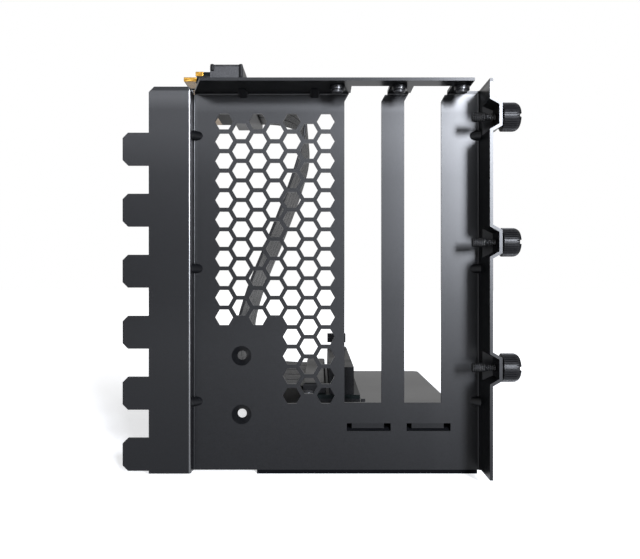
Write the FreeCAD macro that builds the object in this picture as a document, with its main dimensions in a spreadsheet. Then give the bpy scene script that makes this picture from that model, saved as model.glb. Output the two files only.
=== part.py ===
import FreeCAD, Part
import math
import os
import Sketcher

# Vertical graphics card bracket. The origin is on the front face of the slot comb, in the middle of its
# strip and halfway up its six tabs. -Y looks out of the computer, +Y goes into it and +Z is up.

os.makedirs("parts", exist_ok=True)
doc = FreeCAD.newDocument("card_bracket")
sheet = doc.addObject("Spreadsheet::Sheet", "Sizes")

sizes = {
    # folded steel sheet
    "wall": 1.0,
    "bend": 0.5,
    "slot_pitch": 20.32,
    "relief": 0.5,
    # slot comb on the left
    "comb_wide": 14.0,
    "comb_fold": 0.6,
    "joggle": 4.8,
    "tab_reach": 8.7,
    "tab_tall": 10.95,
    "tab_corner": 1.8,
    # panel and its two forward flanges
    "panel_wide": 97.0,
    "panel_below": 57.2,
    "seat_high": 71.6,
    "flange_reach": 15.5,
    "mitre": 4.2,
    "seat_end_gap": 4.8,
    "side_top_gap": 0.2,
    "side_foot_gap": 0.7,
    # windows for the card's plugs, with the notches above them
    "window_in": 51.3,
    "window_wide": 12.55,
    "sill_below": 34.4,
    "slant_tall": 3.7,
    "slant_shift": 2.05,
    "notch_deep": 9.0,
    # slots for the foot of the card's plate
    "foot_in": 0.8,
    "foot_wide": 14.9,
    "foot_tall": 2.65,
    "foot_below": 7.0,
    "tongue_in": 1.7,
    "tongue_wide": 10.9,
    "tongue_tall": 1.7,
    "tongue_push": 0.12,
    # honeycomb vent
    "hex_flats": 5.3,
    "hex_pitch": 6.65,
    "hex_in": 10.4,
    "hex_drop": 10.55,
    # countersunk dimples
    "dimple_in": 16.35,
    "dimple_below": 38.4,
    "dimple_pitch": 19.9,
    "dimple_mouth": 6.7,
    "dimple_hole": 3.1,
    "dimple_deep": 2.7,
    # stiffening darts pressed into the folds
    "dart_leg": 3.2,
    "dart_wide": 3.2,
    "dart_round": 1.5,
    "dart_drop": 15.4,
    "dart_pitch": 45.05,
    "seat_dart_reach": 7.0,
    "seat_dart_fall": 1.6,
    "seat_dart_round": 1.0,
    "seat_dart_in": 17.0,
    "seat_dart_pitch": 24.2,
    # card screws in drawn collars
    "card_screw_gap": 2.6,
    "card_screw_out": 9.2,
    "card_screw_wide": 3.5,
    "card_screw_tip": 0.8,
    "collar_wide": 5.0,
    "collar_tall": 1.4,
    "pan_wide": 6.4,
    "pan_tall": 0.7,
    "thread_gap": 0.05,
    # thumbscrews and the raised seats they sit on
    "screw_above_tab": 9.3,
    "screw_setback": 5.0,
    "seat_base": 10.8,
    "seat_flat": 7.4,
    "seat_rise": 3.0,
    "seat_past": 4.4,
    "thread_wide": 3.0,
    "thread_long": 4.1,
    "neck_wide": 2.2,
    "neck_gap": 0.2,
    "shank_travel": 3.5,
    "knob_gap": 0.3,
    "knob_wide": 9.3,
    "knob_long": 5.9,
    "knob_round": 2.2,
    "knob_cap": 1.1,
    "collar_under": 0.5,
    "under_wide": 6.4,
    "bore_deep": 4.6,
    "bore_gap": 0.04,
    "rib_deep": 0.4,
    "driver_wide": 1.35,
    "driver_deep": 0.9,
    # shelf for the riser
    "shelf_in": 21.5,
    "shelf_side_gap": 0.4,
    "shelf_long": 149.5,
    "shelf_drop": 8.7,
    "shelf_overhang": 1.6,
    "shelf_corner": 3.0,
    # riser board, its spacer and screws
    "card_plane_in": 0.55,
    "board_left": 16.85,
    "board_wide": 24.4,
    "board_behind": 48.2,
    "board_long": 100.9,
    "board_thick": 1.6,
    "spacer_thick": 1.7,
    "board_screw_wide": 2.5,
    "board_head_wide": 4.4,
    "board_head_tall": 1.5,
    "board_screw_side": 3.0,
    "board_screw_end": 2.6,
    "locator_gap": 0.4,
    "locator_wide": 1.7,
    # card socket
    "socket_in": 0.8,
    "socket_long": 89.0,
    "socket_wide": 10.1,
    "socket_tall": 11.25,
    "groove_wide": 1.8,
    "groove_deep": 8.2,
    "groove_end": 2.0,
    "key_from": 11.65,
    "key_wide": 1.9,
    "contact_pitch": 1.0,
    "contact_thick": 0.35,
    "contact_wide": 0.55,
    "contact_tall": 5.6,
    "fork_long": 6.0,
    "fork_gap": 6.4,
    "fork_tall": 7.0,
    "latch_gap": 0.3,
    "latch_foot_gap": 0.8,
    "latch_tall": 18.0,
    "latch_thick": 3.2,
    "latch_pin": 2.4,
    "latch_pin_high": 3.6,
    "latch_pad_tall": 4.6,
    # cover over the soldered ribbon ends
    "cover_in": 1.0,
    "cover_wide": 9.5,
    "cover_tall": 4.0,
    "cover_near": 5.8,
    "cover_long": 92.9,
    # flat ribbons of the riser cable
    "ribbon_in": 5.0,
    "ribbon_wide": 17.0,
    "ribbon_pitch": 17.6,
    "ribbon_thick": 1.2,
    "ribbon_high": 1.5,
    "ribbon_drop": 0.4,
    # plug at the cable's upper end
    "shell_wide": 13.5,
    "shell_before": 10.0,
    "shell_long": 100.0,
    "shell_roof": 2.8,
    "shell_floor": 2.1,
    "shell_round": 1.2,
    "plug_end_in": 2.0,
    "finger_out": 12.6,
    "finger_near": 10.0,
    "finger_long": 85.0,
    "heel_out": 6.2,
    "heel_long": 8.2,
    "pad_long": 4.4,
    "pad_wide": 0.7,
    "pad_thick": 0.05,
}
for row, (alias, value) in enumerate(sizes.items(), start=1):
    sheet.set(f"A{row}", alias.replace("_", " "))
    sheet.set(f"B{row}", str(value))
    sheet.setAlias(f"B{row}", alias)
doc.recompute()

tabs = 6
windows = 2
ventFields = [(0, 11, 2), (1, 10, 2), (4, 15, 2), (5, 14, 1)]
thumbscrews = 3
cardScrews = 3
ribbons = 5
knobRibs = 36
shortContacts = 11
longContacts = 71

# places that several pieces share, all worked out from the sizes above
wallFace = "Sizes.comb_wide / 2"
front = "Sizes.joggle"
back = "(Sizes.joggle + Sizes.wall)"
sideFace = f"({wallFace} + Sizes.panel_wide)"
sideOuter = f"({sideFace} + Sizes.wall)"
nearEdge = "(Sizes.joggle - Sizes.flange_reach)"
seatUnder = "(Sizes.seat_high - Sizes.wall)"
seatStart = f"({wallFace} + Sizes.relief)"
seatEnd = f"({sideFace} - Sizes.seat_end_gap)"
windowLeft = f"({wallFace} + Sizes.window_in)"
cardScrewX = f"({windowLeft} - Sizes.card_screw_gap)"
cardScrewY = f"({front} - Sizes.card_screw_out)"
screwY = f"({nearEdge} + Sizes.screw_setback)"
screwZ = f"({tabs / 2 - 0.5} * Sizes.slot_pitch + Sizes.screw_above_tab)"
screwPitch = "(2 * Sizes.slot_pitch)"
seatFace = f"({sideOuter} + Sizes.seat_rise)"
shelfTop = "(-Sizes.sill_below - Sizes.shelf_drop)"
shelfRight = f"({sideFace} - Sizes.shelf_side_gap)"
boardUnder = f"({shelfTop} + Sizes.spacer_thick)"
boardTop = f"({boardUnder} + Sizes.board_thick)"
slotX = f"({windowLeft} + Sizes.card_plane_in)"
boardX = f"({slotX} - Sizes.board_left)"
boardY = f"({back} + Sizes.board_behind)"
socketY = f"({boardY} + Sizes.socket_in)"
socketEnd = f"({socketY} + Sizes.socket_long)"
coverX = f"({boardX} + Sizes.cover_in)"
coverY = f"({boardY} + Sizes.cover_near)"
ribbonY = f"({coverY} + Sizes.ribbon_in)"
ribbonZ = f"({boardTop} + Sizes.ribbon_high)"

# Route of the ribbons' centreline in X and Z, from the cover's face up to the plug.
route = [
    (0.0, 0.0),
    (-14.5, 0.0),
    (-28.1, 4.9),
    (-29.8, 20.4),
    (-23.9, 41.9),
    (-12.6, 68.4),
    (-3.5, 92.4),
    (1.5, 110.9),
    (-0.7, 124.5),
    (-11.9, 131.0),
    (-24.6, 131.0),
]
shellX = f"({coverX} + {route[-1][0]})"
ribbonTop = f"({ribbonZ} + {route[-1][1]})"
shellY = f"({ribbonY} - Sizes.shell_before)"
plugBoardTop = f"({ribbonTop} + Sizes.ribbon_drop)"
plugBoardUnder = f"({plugBoardTop} - Sizes.board_thick)"
shellLeft = f"({shellX} - Sizes.shell_wide)"

alongX = FreeCAD.Rotation(FreeCAD.Vector(0, 1, 0), 90)
alongY = FreeCAD.Rotation(FreeCAD.Vector(1, 0, 0), -90)
downZ = FreeCAD.Rotation(FreeCAD.Vector(1, 0, 0), 180)


def number(expression):
    """Value of an expression at the sheet's present sizes."""
    return float(sheet.evalExpression(expression))


def newBody(label):
    body = doc.addObject("PartDesign::Body", label)
    body.Label = label
    return body


def origin(body, role):
    return next(f for f in body.Origin.OriginFeatures if f.Role == role)


def sketchOn(body, role, name, shift="0"):
    """Sketch on an origin plane of its body, moved along the plane's normal by shift."""
    sketch = body.newObject("Sketcher::SketchObject", name)
    sketch.AttachmentSupport = (origin(body, role), [""])
    sketch.MapMode = "FlatFace"
    sketch.setExpression("AttachmentOffset.Base.z", shift)
    return sketch


def place(sketch, geometry, end, across, up):
    """Holds one point of the sketch at two sizes from its origin."""
    for kind, expression in (("DistanceX", across), ("DistanceY", up)):
        rule = Sketcher.Constraint(kind, -1, 1, geometry, end, number(expression))
        sketch.setExpression(f"Constraints[{sketch.addConstraint(rule)}]", expression)


def at(pair):
    return FreeCAD.Vector(number(pair[0]), number(pair[1]), 0)


def outline(sketch, corners, rounds=()):
    """Closed outline through corners given as pairs of expressions. rounds maps the number of a square
    corner to the radius that it is rounded with."""
    points, arcs = [], {}
    for i, (u, v) in enumerate(corners):
        if i not in rounds:
            points.append((u, v))
            continue
        here, after = at(corners[i]), at(corners[(i + 1) % len(corners)])
        come = (here - at(corners[i - 1])).normalize()
        go = (after - here).normalize()
        radius = f"({rounds[i]})"
        centre = here + (go - come) * number(radius)
        arcs[len(points)] = (radius, centre, come.cross(go).z > 0)
        points.append((f"{u} - {round(come.x)} * {radius}", f"{v} - {round(come.y)} * {radius}"))
        points.append((f"{u} + {round(go.x)} * {radius}", f"{v} + {round(go.y)} * {radius}"))
    first = sketch.GeometryCount
    count = len(points)
    ends = []
    for i in range(count):
        a, b = at(points[i]), at(points[(i + 1) % count])
        if i not in arcs:
            sketch.addGeometry(Part.LineSegment(a, b), False)
            ends.append((1, 2))
            continue
        radius, centre, left = arcs[i]
        start, end = (a, b) if left else (b, a)
        begin = math.atan2(start.y - centre.y, start.x - centre.x)
        finish = math.atan2(end.y - centre.y, end.x - centre.x)
        circle = Part.Circle(centre, FreeCAD.Vector(0, 0, 1), number(radius))
        sketch.addGeometry(Part.ArcOfCircle(circle, begin, finish + 2 * math.pi * (finish < begin)), False)
        ends.append((1, 2) if left else (2, 1))
    for i in range(count):
        after = (i + 1) % count
        joined = Sketcher.Constraint("Coincident", first + i, ends[i][1], first + after, ends[after][0])
        sketch.addConstraint(joined)
    for i, (u, v) in enumerate(points):
        place(sketch, first + i, ends[i][0], u, v)
    for i, (radius, centre, left) in arcs.items():
        rule = sketch.addConstraint(Sketcher.Constraint("Radius", first + i, number(radius)))
        sketch.setExpression(f"Constraints[{rule}]", radius)


def box(sketch, left, low, right, high):
    outline(sketch, [(left, low), (right, low), (right, high), (left, high)])


def ring(sketch, across, up, radius):
    centre = FreeCAD.Vector(number(across), number(up), 0)
    circle = Part.Circle(centre, FreeCAD.Vector(0, 0, 1), number(radius))
    n = sketch.addGeometry(circle, False)
    place(sketch, n, 3, across, up)
    rule = sketch.addConstraint(Sketcher.Constraint("Radius", n, number(radius)))
    sketch.setExpression(f"Constraints[{rule}]", radius)


def pad(sketch, length, reverse=False, both=False):
    body = sketch.getParentGeoFeatureGroup()
    made = body.newObject("PartDesign::Pad", sketch.Name + "_pad")
    made.Profile = sketch
    made.setExpression("Length", length)
    made.Reversed = reverse
    made.SideType = "Symmetric" if both else "One side"
    doc.recompute()
    return made


def pocket(sketch, length, reverse=False, both=False):
    """Cut that has to take material away, so its volume is compared."""
    body = sketch.getParentGeoFeatureGroup()
    before = body.Tip.Shape.Volume
    made = body.newObject("PartDesign::Pocket", sketch.Name + "_cut")
    made.Profile = sketch
    made.setExpression("Length", length)
    made.Reversed = reverse
    made.SideType = "Symmetric" if both else "One side"
    doc.recompute()
    if made.Shape.Volume > before - 0.01:
        raise ValueError(f"{made.Name} cuts nothing")
    return made


def repeat(feature, role, step, count, backwards=False, across=None):
    """Row of copies of a feature along an axis of its body, one step apart, or a grid with across's axis,
    step and count as well."""
    body = feature.getParentGeoFeatureGroup()
    made = body.newObject("PartDesign::LinearPattern", feature.Name + "_row")
    made.Originals = [feature]
    made.Direction = (origin(body, role), [""])
    made.Reversed = backwards
    made.Mode = "Extent"
    made.setExpression("Length", f"{step} * {count - 1}")
    made.Occurrences = count
    if across and across[2] > 1:
        made.Direction2 = (origin(body, across[0]), [""])
        made.Mode2 = "Extent"
        made.setExpression("Length2", f"{across[1]} * {across[2] - 1}")
        made.Occurrences2 = across[2]
    made.Refine = feature.Refine
    body.Tip = made
    doc.recompute()
    return made


def primitive(body, kind, name, turn, base, **measures):
    """Additive or subtractive primitive with its base point and measures bound to the sheet."""
    made = body.newObject("PartDesign::" + kind, name)
    made.Placement = FreeCAD.Placement(FreeCAD.Vector(), turn)
    for axis, expression in zip("xyz", base):
        made.setExpression(f"Placement.Base.{axis}", expression)
    for measure, expression in measures.items():
        made.setExpression(measure, expression)
    doc.recompute()
    return made


def edgesWhere(shape, test):
    """Names of the straight edges whose middle and direction pass a test."""
    found = []
    for i, edge in enumerate(shape.Edges, start=1):
        if isinstance(edge.Curve, Part.Line):
            a, b = edge.Vertexes[0].Point, edge.Vertexes[-1].Point
            if test((a + b) / 2, (b - a).normalize(), (b - a).Length):
                found.append(f"Edge{i}")
    return found


def rounded(body, test, radius, name, kind="Fillet"):
    """Fillet, or chamfer, on the edges of the body so far that pass a test."""
    edges = edgesWhere(body.Tip.Shape, test)
    if not edges:
        raise ValueError(f"{name} finds no edge")
    made = body.newObject("PartDesign::" + kind, name)
    made.Base = (body.Tip if body.Tip is not made else made.BaseFeature, edges)
    made.setExpression("Size" if kind == "Chamfer" else "Radius", radius)
    doc.recompute()
    return made


def near(a, b):
    return abs(a - b) < 0.01


def rearPanel():
    body = newBody("rear_panel")

    # plan of the sheet: comb strip, step back to the panel, panel, and the flange on the right
    plan = sketchOn(body, "XY_Plane", "sheet_plan", "-Sizes.panel_below")
    combBack = "Sizes.wall"
    stepBack = f"({wallFace} - Sizes.wall)"
    inner, outer = "Sizes.bend", "Sizes.bend + Sizes.wall"
    outline(plan, [
        ("-Sizes.comb_wide / 2", "0"),
        (wallFace, "0"),
        (wallFace, front),
        (sideFace, front),
        (sideFace, nearEdge),
        (sideOuter, nearEdge),
        (sideOuter, back),
        (stepBack, back),
        (stepBack, combBack),
        ("-Sizes.comb_wide / 2", combBack),
    ], {1: "Sizes.comb_fold", 2: inner, 3: inner, 6: outer, 7: outer, 8: inner})
    pad(plan, "Sizes.seat_high + Sizes.panel_below")

    # comb tabs with clipped corners
    tab = sketchOn(body, "XZ_Plane", "comb_tab", "-Sizes.wall")
    root = "(-Sizes.comb_wide / 2)"
    tip = f"({root} - Sizes.tab_reach)"
    lowest = f"({(1 - tabs) / 2} * Sizes.slot_pitch)"
    half = "Sizes.tab_tall / 2"
    outline(tab, [
        (root, f"{lowest} - {half}"),
        (root, f"{lowest} + {half}"),
        (f"{tip} + Sizes.tab_corner", f"{lowest} + {half}"),
        (tip, f"{lowest} + {half} - Sizes.tab_corner"),
        (tip, f"{lowest} - {half} + Sizes.tab_corner"),
        (f"{tip} + Sizes.tab_corner", f"{lowest} - {half}"),
    ])
    repeat(pad(tab, "Sizes.wall"), "Z_Axis", "Sizes.slot_pitch", tabs)
    top = number("Sizes.seat_high")
    rounded(
        body, lambda m, d, long: abs(d.y) > 0.999 and near(m.x, number(root)) and near(m.z, top),
        "Sizes.tab_corner", "comb_corner", "Chamfer",
    )

    # the flange on the right ends short of the fold at the top and of the panel's foot
    trim = sketchOn(body, "XZ_Plane", "side_flange_top", f"-{back} - 1")
    box(trim, seatEnd, "Sizes.seat_high - Sizes.side_top_gap", f"{sideOuter} + 1", "Sizes.seat_high + 1")
    pocket(trim, "Sizes.flange_reach + Sizes.wall + 2", reverse=True)
    foot = sketchOn(body, "XZ_Plane", "side_flange_foot", f"-{front} + Sizes.bend")
    box(foot, f"{sideFace} - Sizes.relief", "-Sizes.panel_below - 1",
        f"{sideOuter} + 1", "-Sizes.panel_below + Sizes.side_foot_gap")
    pocket(foot, "Sizes.flange_reach", reverse=True)

    # seat flange folded forward along the top, mitred at the comb
    fold = sketchOn(body, "YZ_Plane", "seat_room", wallFace)
    box(fold, f"{front} - Sizes.bend", f"{seatUnder} - Sizes.bend", f"{back} + 1", "Sizes.seat_high + 1")
    pocket(fold, f"{seatEnd} - {wallFace}", reverse=True)
    seat = sketchOn(body, "YZ_Plane", "seat_side", seatStart)
    outline(seat, [
        (nearEdge, seatUnder),
        (front, seatUnder),
        (front, f"{seatUnder} - 2 * Sizes.bend"),
        (back, f"{seatUnder} - 2 * Sizes.bend"),
        (back, "Sizes.seat_high"),
        (nearEdge, "Sizes.seat_high"),
    ], {1: inner, 4: outer})
    pad(seat, f"{seatEnd} - {seatStart}")
    mitre = sketchOn(body, "XY_Plane", "seat_mitre", "Sizes.seat_high + 1")
    outline(mitre, [
        (seatStart, f"{front} - Sizes.bend"),
        (f"{seatStart} + Sizes.mitre", nearEdge),
        (f"{seatStart} + Sizes.mitre", f"{nearEdge} - 1"),
        (f"{seatStart} - 1", f"{nearEdge} - 1"),
        (f"{seatStart} - 1", f"{front} - Sizes.bend"),
    ])
    pocket(mitre, "Sizes.wall + 1")

    # windows that lean to the right under the fold, and the notches that carry them into the flange
    left, right = windowLeft, f"({windowLeft} + Sizes.window_wide)"
    straight = "(Sizes.seat_high - Sizes.slant_tall)"
    window = sketchOn(body, "XZ_Plane", "card_window", f"-{back}")
    outline(window, [
        (left, "-Sizes.sill_below"),
        (right, "-Sizes.sill_below"),
        (right, straight),
        (f"{right} + Sizes.slant_shift", "Sizes.seat_high"),
        (f"{left} + Sizes.slant_shift", "Sizes.seat_high"),
        (left, straight),
    ])
    cut = pocket(window, "Sizes.wall + Sizes.bend", reverse=True)
    repeat(cut, "X_Axis", "Sizes.slot_pitch", windows)
    notch = sketchOn(body, "XY_Plane", "seat_notch", "Sizes.seat_high + 1")
    box(notch, f"{left} + Sizes.slant_shift", f"{front} - Sizes.notch_deep",
        f"{right} + Sizes.slant_shift", f"{back} + 1")
    cut = pocket(notch, "1 + Sizes.wall + Sizes.bend")
    repeat(cut, "X_Axis", "Sizes.slot_pitch", windows)

    # foot slots, each with a tongue lanced back from its upper edge
    footLeft = f"({windowLeft} + Sizes.foot_in)"
    footTop = "(-Sizes.sill_below - Sizes.foot_below)"
    slot = sketchOn(body, "XZ_Plane", "foot_slot", f"-{back} - 1")
    box(slot, footLeft, f"{footTop} - Sizes.foot_tall", f"{footLeft} + Sizes.foot_wide", footTop)
    repeat(pocket(slot, "Sizes.wall + 2", reverse=True), "X_Axis", "Sizes.slot_pitch", windows)
    tongue = sketchOn(body, "YZ_Plane", "foot_tongue", f"{footLeft} + Sizes.tongue_in")
    low = f"{footTop} - Sizes.tongue_tall"
    outline(tongue, [
        (front, footTop),
        (back, footTop),
        (f"{back} + Sizes.tongue_push", low),
        (f"{front} + Sizes.tongue_push", low),
    ])
    repeat(pad(tongue, "Sizes.tongue_wide"), "X_Axis", "Sizes.slot_pitch", windows)

    # countersunk dimples drawn through to the back
    x = f"{wallFace} + Sizes.dimple_in"
    low = "-Sizes.dimple_below"
    drawn = primitive(
        body, "AdditiveCone", "dimple_metal", alongY, (x, front, low),
        Radius1="Sizes.dimple_mouth / 2 + Sizes.wall / 2",
        Radius2="Sizes.dimple_hole / 2 + Sizes.wall / 2",
        Height="Sizes.dimple_deep",
    )
    repeat(drawn, "Z_Axis", "Sizes.dimple_pitch", 2)
    sunk = primitive(
        body, "SubtractiveCone", "dimple_mouth", alongY, (x, front, low),
        Radius1="Sizes.dimple_mouth / 2",
        Radius2="Sizes.dimple_hole / 2",
        Height="Sizes.dimple_deep - Sizes.wall / 2",
    )
    repeat(sunk, "Z_Axis", "Sizes.dimple_pitch", 2)
    hole = primitive(
        body, "SubtractiveCylinder", "dimple_hole", alongY, (x, front, low),
        Radius="Sizes.dimple_hole / 2", Height="Sizes.dimple_deep + 1",
    )
    repeat(hole, "Z_Axis", "Sizes.dimple_pitch", 2)

    # darts: a three-cornered rib inside each fold, with a smaller dent behind it
    lowest = "(Sizes.seat_high - Sizes.dart_drop - 2 * Sizes.dart_pitch)"
    dent = "(Sizes.dart_leg + 2 * Sizes.wall - sqrt(2) * Sizes.wall)"
    dentWide = "(Sizes.dart_wide - Sizes.wall * 1.8)"
    for name, corner, outerCorner, side in (
        ("left_dart", wallFace, f"({wallFace} - Sizes.wall)", "+"),
        ("right_dart", sideFace, sideOuter, "-"),
    ):
        rib = sketchOn(body, "XY_Plane", name, lowest)
        outline(rib, [
            (corner, front),
            (f"{corner} {side} Sizes.dart_leg", front),
            (corner, f"{front} - Sizes.dart_leg"),
        ])
        repeat(pad(rib, "Sizes.dart_wide", both=True), "Z_Axis", "Sizes.dart_pitch", 3)
        hollow = sketchOn(body, "XY_Plane", name + "_dent", lowest)
        outline(hollow, [
            (outerCorner, back),
            (f"{outerCorner} {side} {dent}", back),
            (outerCorner, f"{back} - {dent}"),
        ])
        repeat(pocket(hollow, dentWide, both=True), "Z_Axis", "Sizes.dart_pitch", 3)
    first = f"{wallFace} + Sizes.seat_dart_in"
    reach, fall = "Sizes.seat_dart_reach", "Sizes.seat_dart_fall"
    steep = f"sqrt(1 / ({reach} * {reach}) + 1 / ({fall} * {fall}))"
    share = f"(1 + Sizes.wall / {reach} + Sizes.wall / {fall} - Sizes.wall * {steep})"
    rib = sketchOn(body, "YZ_Plane", "seat_dart", first)
    outline(rib, [
        (front, seatUnder),
        (f"{front} - {reach}", seatUnder),
        (front, f"{seatUnder} - {fall}"),
    ])
    repeat(pad(rib, "Sizes.dart_wide", both=True), "X_Axis", "Sizes.seat_dart_pitch", 2)
    hollow = sketchOn(body, "YZ_Plane", "seat_dart_dent", first)
    outline(hollow, [
        (back, "Sizes.seat_high"),
        (f"{back} - {reach} * {share}", "Sizes.seat_high"),
        (back, f"Sizes.seat_high - {fall} * {share}"),
    ])
    repeat(pocket(hollow, dentWide, both=True), "X_Axis", "Sizes.seat_dart_pitch", 2)
    sideRidge = number("Sizes.dart_leg * sqrt(2)")
    seatRidge = number(f"{reach} * {fall} * {steep}")
    seatLean = number(reach) / seatRidge
    rounded(
        body, lambda m, d, long: near(long, sideRidge) and near(abs(d.y), math.sqrt(0.5)),
        "Sizes.dart_round", "dart_ridges",
    )
    rounded(
        body, lambda m, d, long: near(long, seatRidge) and near(abs(d.y), seatLean),
        "Sizes.seat_dart_round", "seat_dart_ridges",
    )

    # collars drawn down from the seat flange for the card screws
    drawn = primitive(
        body, "AdditiveCylinder", "screw_collar", downZ, (cardScrewX, cardScrewY, seatUnder),
        Radius="Sizes.collar_wide / 2", Height="Sizes.collar_tall",
    )
    repeat(drawn, "X_Axis", "Sizes.slot_pitch", cardScrews)
    bore = primitive(
        body, "SubtractiveCylinder", "screw_bore", downZ, (cardScrewX, cardScrewY, "Sizes.seat_high + 1"),
        Radius="Sizes.card_screw_wide / 2 + Sizes.thread_gap",
        Height="Sizes.wall + Sizes.collar_tall + 2",
    )
    repeat(bore, "X_Axis", "Sizes.slot_pitch", cardScrews)

    # raised seats for the thumbscrews, pressed out of the side flange and open at its near edge
    lowest = f"({screwZ} - {thumbscrews - 1} * {screwPitch})"
    lean = "((Sizes.seat_base - Sizes.seat_flat) / 2 / Sizes.seat_rise)"
    narrow = f"(Sizes.wall * (sqrt(1 + {lean} * {lean}) - {lean}))"
    edge = f"-{nearEdge}"
    past = f"-({screwY} + Sizes.seat_past)"
    slope = f"{lean} * Sizes.seat_rise"
    towardX = FreeCAD.Rotation(FreeCAD.Vector(0, 0, 1), -90)
    raised = primitive(
        body, "AdditiveWedge", "screw_seat", towardX, (sideOuter, "0", lowest),
        Xmin=f"{past} - {slope}", Xmax=edge, X2min=past, X2max=edge,
        Ymin="0 mm", Ymax="Sizes.seat_rise * 1 mm",
        Zmin="-Sizes.seat_base / 2", Zmax="Sizes.seat_base / 2",
        Z2min="-Sizes.seat_flat / 2", Z2max="Sizes.seat_flat / 2",
    )
    repeat(raised, "Z_Axis", screwPitch, thumbscrews)
    pressed = primitive(
        body, "SubtractiveWedge", "screw_seat_hollow", towardX, (sideFace, "0", lowest),
        Xmin=f"{past} - {slope} + {narrow}", Xmax=f"{edge} + 1",
        X2min=f"{past} + {narrow}", X2max=f"{edge} + 1",
        Ymin="0 mm", Ymax="Sizes.seat_rise * 1 mm",
        Zmin=f"-Sizes.seat_base / 2 + {narrow}", Zmax=f"Sizes.seat_base / 2 - {narrow}",
        Z2min=f"-Sizes.seat_flat / 2 + {narrow}", Z2max=f"Sizes.seat_flat / 2 - {narrow}",
    )
    repeat(pressed, "Z_Axis", screwPitch, thumbscrews)
    hole = primitive(
        body, "SubtractiveCylinder", "screw_seat_hole", alongX, (f"{sideOuter} - 0.5", screwY, lowest),
        Radius="Sizes.neck_wide / 2 + Sizes.neck_gap", Height="Sizes.seat_rise + 2",
    )
    repeat(hole, "Z_Axis", screwPitch, thumbscrews)

    # honeycomb in four fields, each with a first column, its rows, and its columns two places apart
    for column, rows, across in ventFields:
        x = f"({wallFace} + Sizes.hex_in + {column} * Sizes.hex_pitch * sqrt(3) / 2)"
        z = f"(Sizes.seat_high - Sizes.hex_drop - {column % 2 / 2} * Sizes.hex_pitch)"
        hexagon = sketchOn(body, "XZ_Plane", f"vent_{column + 1}", f"-{back} - 1")
        reach, step, flat = (f"Sizes.hex_flats / {d}" for d in ("sqrt(3)", "sqrt(12)", "2"))
        outline(hexagon, [
            (f"{x} + {reach}", z),
            (f"{x} + {step}", f"{z} + {flat}"),
            (f"{x} - {step}", f"{z} + {flat}"),
            (f"{x} - {reach}", z),
            (f"{x} - {step}", f"{z} - {flat}"),
            (f"{x} + {step}", f"{z} - {flat}"),
        ])
        cut = pocket(hexagon, "Sizes.wall + 2", reverse=True)
        cut.Refine = False
        repeat(cut, "Z_Axis", "Sizes.hex_pitch", rows, backwards=True,
               across=("X_Axis", "Sizes.hex_pitch * sqrt(3)", across))
    return body


def riserShelf():
    body = newBody("riser_shelf")
    side = sketchOn(body, "YZ_Plane", "shelf_side", f"{wallFace} + Sizes.shelf_in")
    far = f"({back} + Sizes.shelf_long)"
    low = "(-Sizes.panel_below - Sizes.shelf_overhang)"
    outline(side, [
        (back, shelfTop),
        (back, low),
        (f"{back} + Sizes.wall", low),
        (f"{back} + Sizes.wall", f"{shelfTop} - Sizes.wall"),
        (far, f"{shelfTop} - Sizes.wall"),
        (far, shelfTop),
    ], {0: "Sizes.bend + Sizes.wall", 3: "Sizes.bend"})
    pad(side, f"{shelfRight} - {wallFace} - Sizes.shelf_in")
    rounded(
        body, lambda m, d, long: abs(d.z) > 0.999 and near(m.y, number(far)),
        "Sizes.shelf_corner", "shelf_corners",
    )
    # upright lug beside the riser board
    lug = sketchOn(body, "XY_Plane", "board_lug", shelfTop)
    left = f"({boardX} + Sizes.board_wide + Sizes.locator_gap)"
    box(lug, left, boardY, f"{left} + Sizes.locator_wide", f"{boardY} + 2 * Sizes.locator_wide")
    pad(lug, "Sizes.locator_wide")
    # threaded holes under the riser board's screws
    holes = sketchOn(body, "XY_Plane", "board_screw_holes", shelfTop)
    for x, y in boardScrewPlaces():
        ring(holes, x, y, "Sizes.board_screw_wide / 2 + Sizes.thread_gap")
    pocket(holes, "Sizes.wall")
    return body


def boardScrewPlaces():
    """One screw at the near left corner of the riser board and one behind the latch, as expressions."""
    return [
        (f"({boardX} + Sizes.board_screw_side)", f"({boardY} + Sizes.board_screw_end)"),
        (slotX, f"({boardY} + Sizes.board_long - Sizes.board_screw_end)"),
    ]


def boardSheet(label, base, thick):
    """Flat plate with the riser board's outline and its four screw holes."""
    body = newBody(label)
    plan = sketchOn(body, "XY_Plane", label + "_plan", base)
    box(plan, boardX, boardY, f"{boardX} + Sizes.board_wide", f"{boardY} + Sizes.board_long")
    for x, y in boardScrewPlaces():
        ring(plan, x, y, "Sizes.board_screw_wide / 2 + Sizes.thread_gap")
    pad(plan, thick)
    return body


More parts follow.
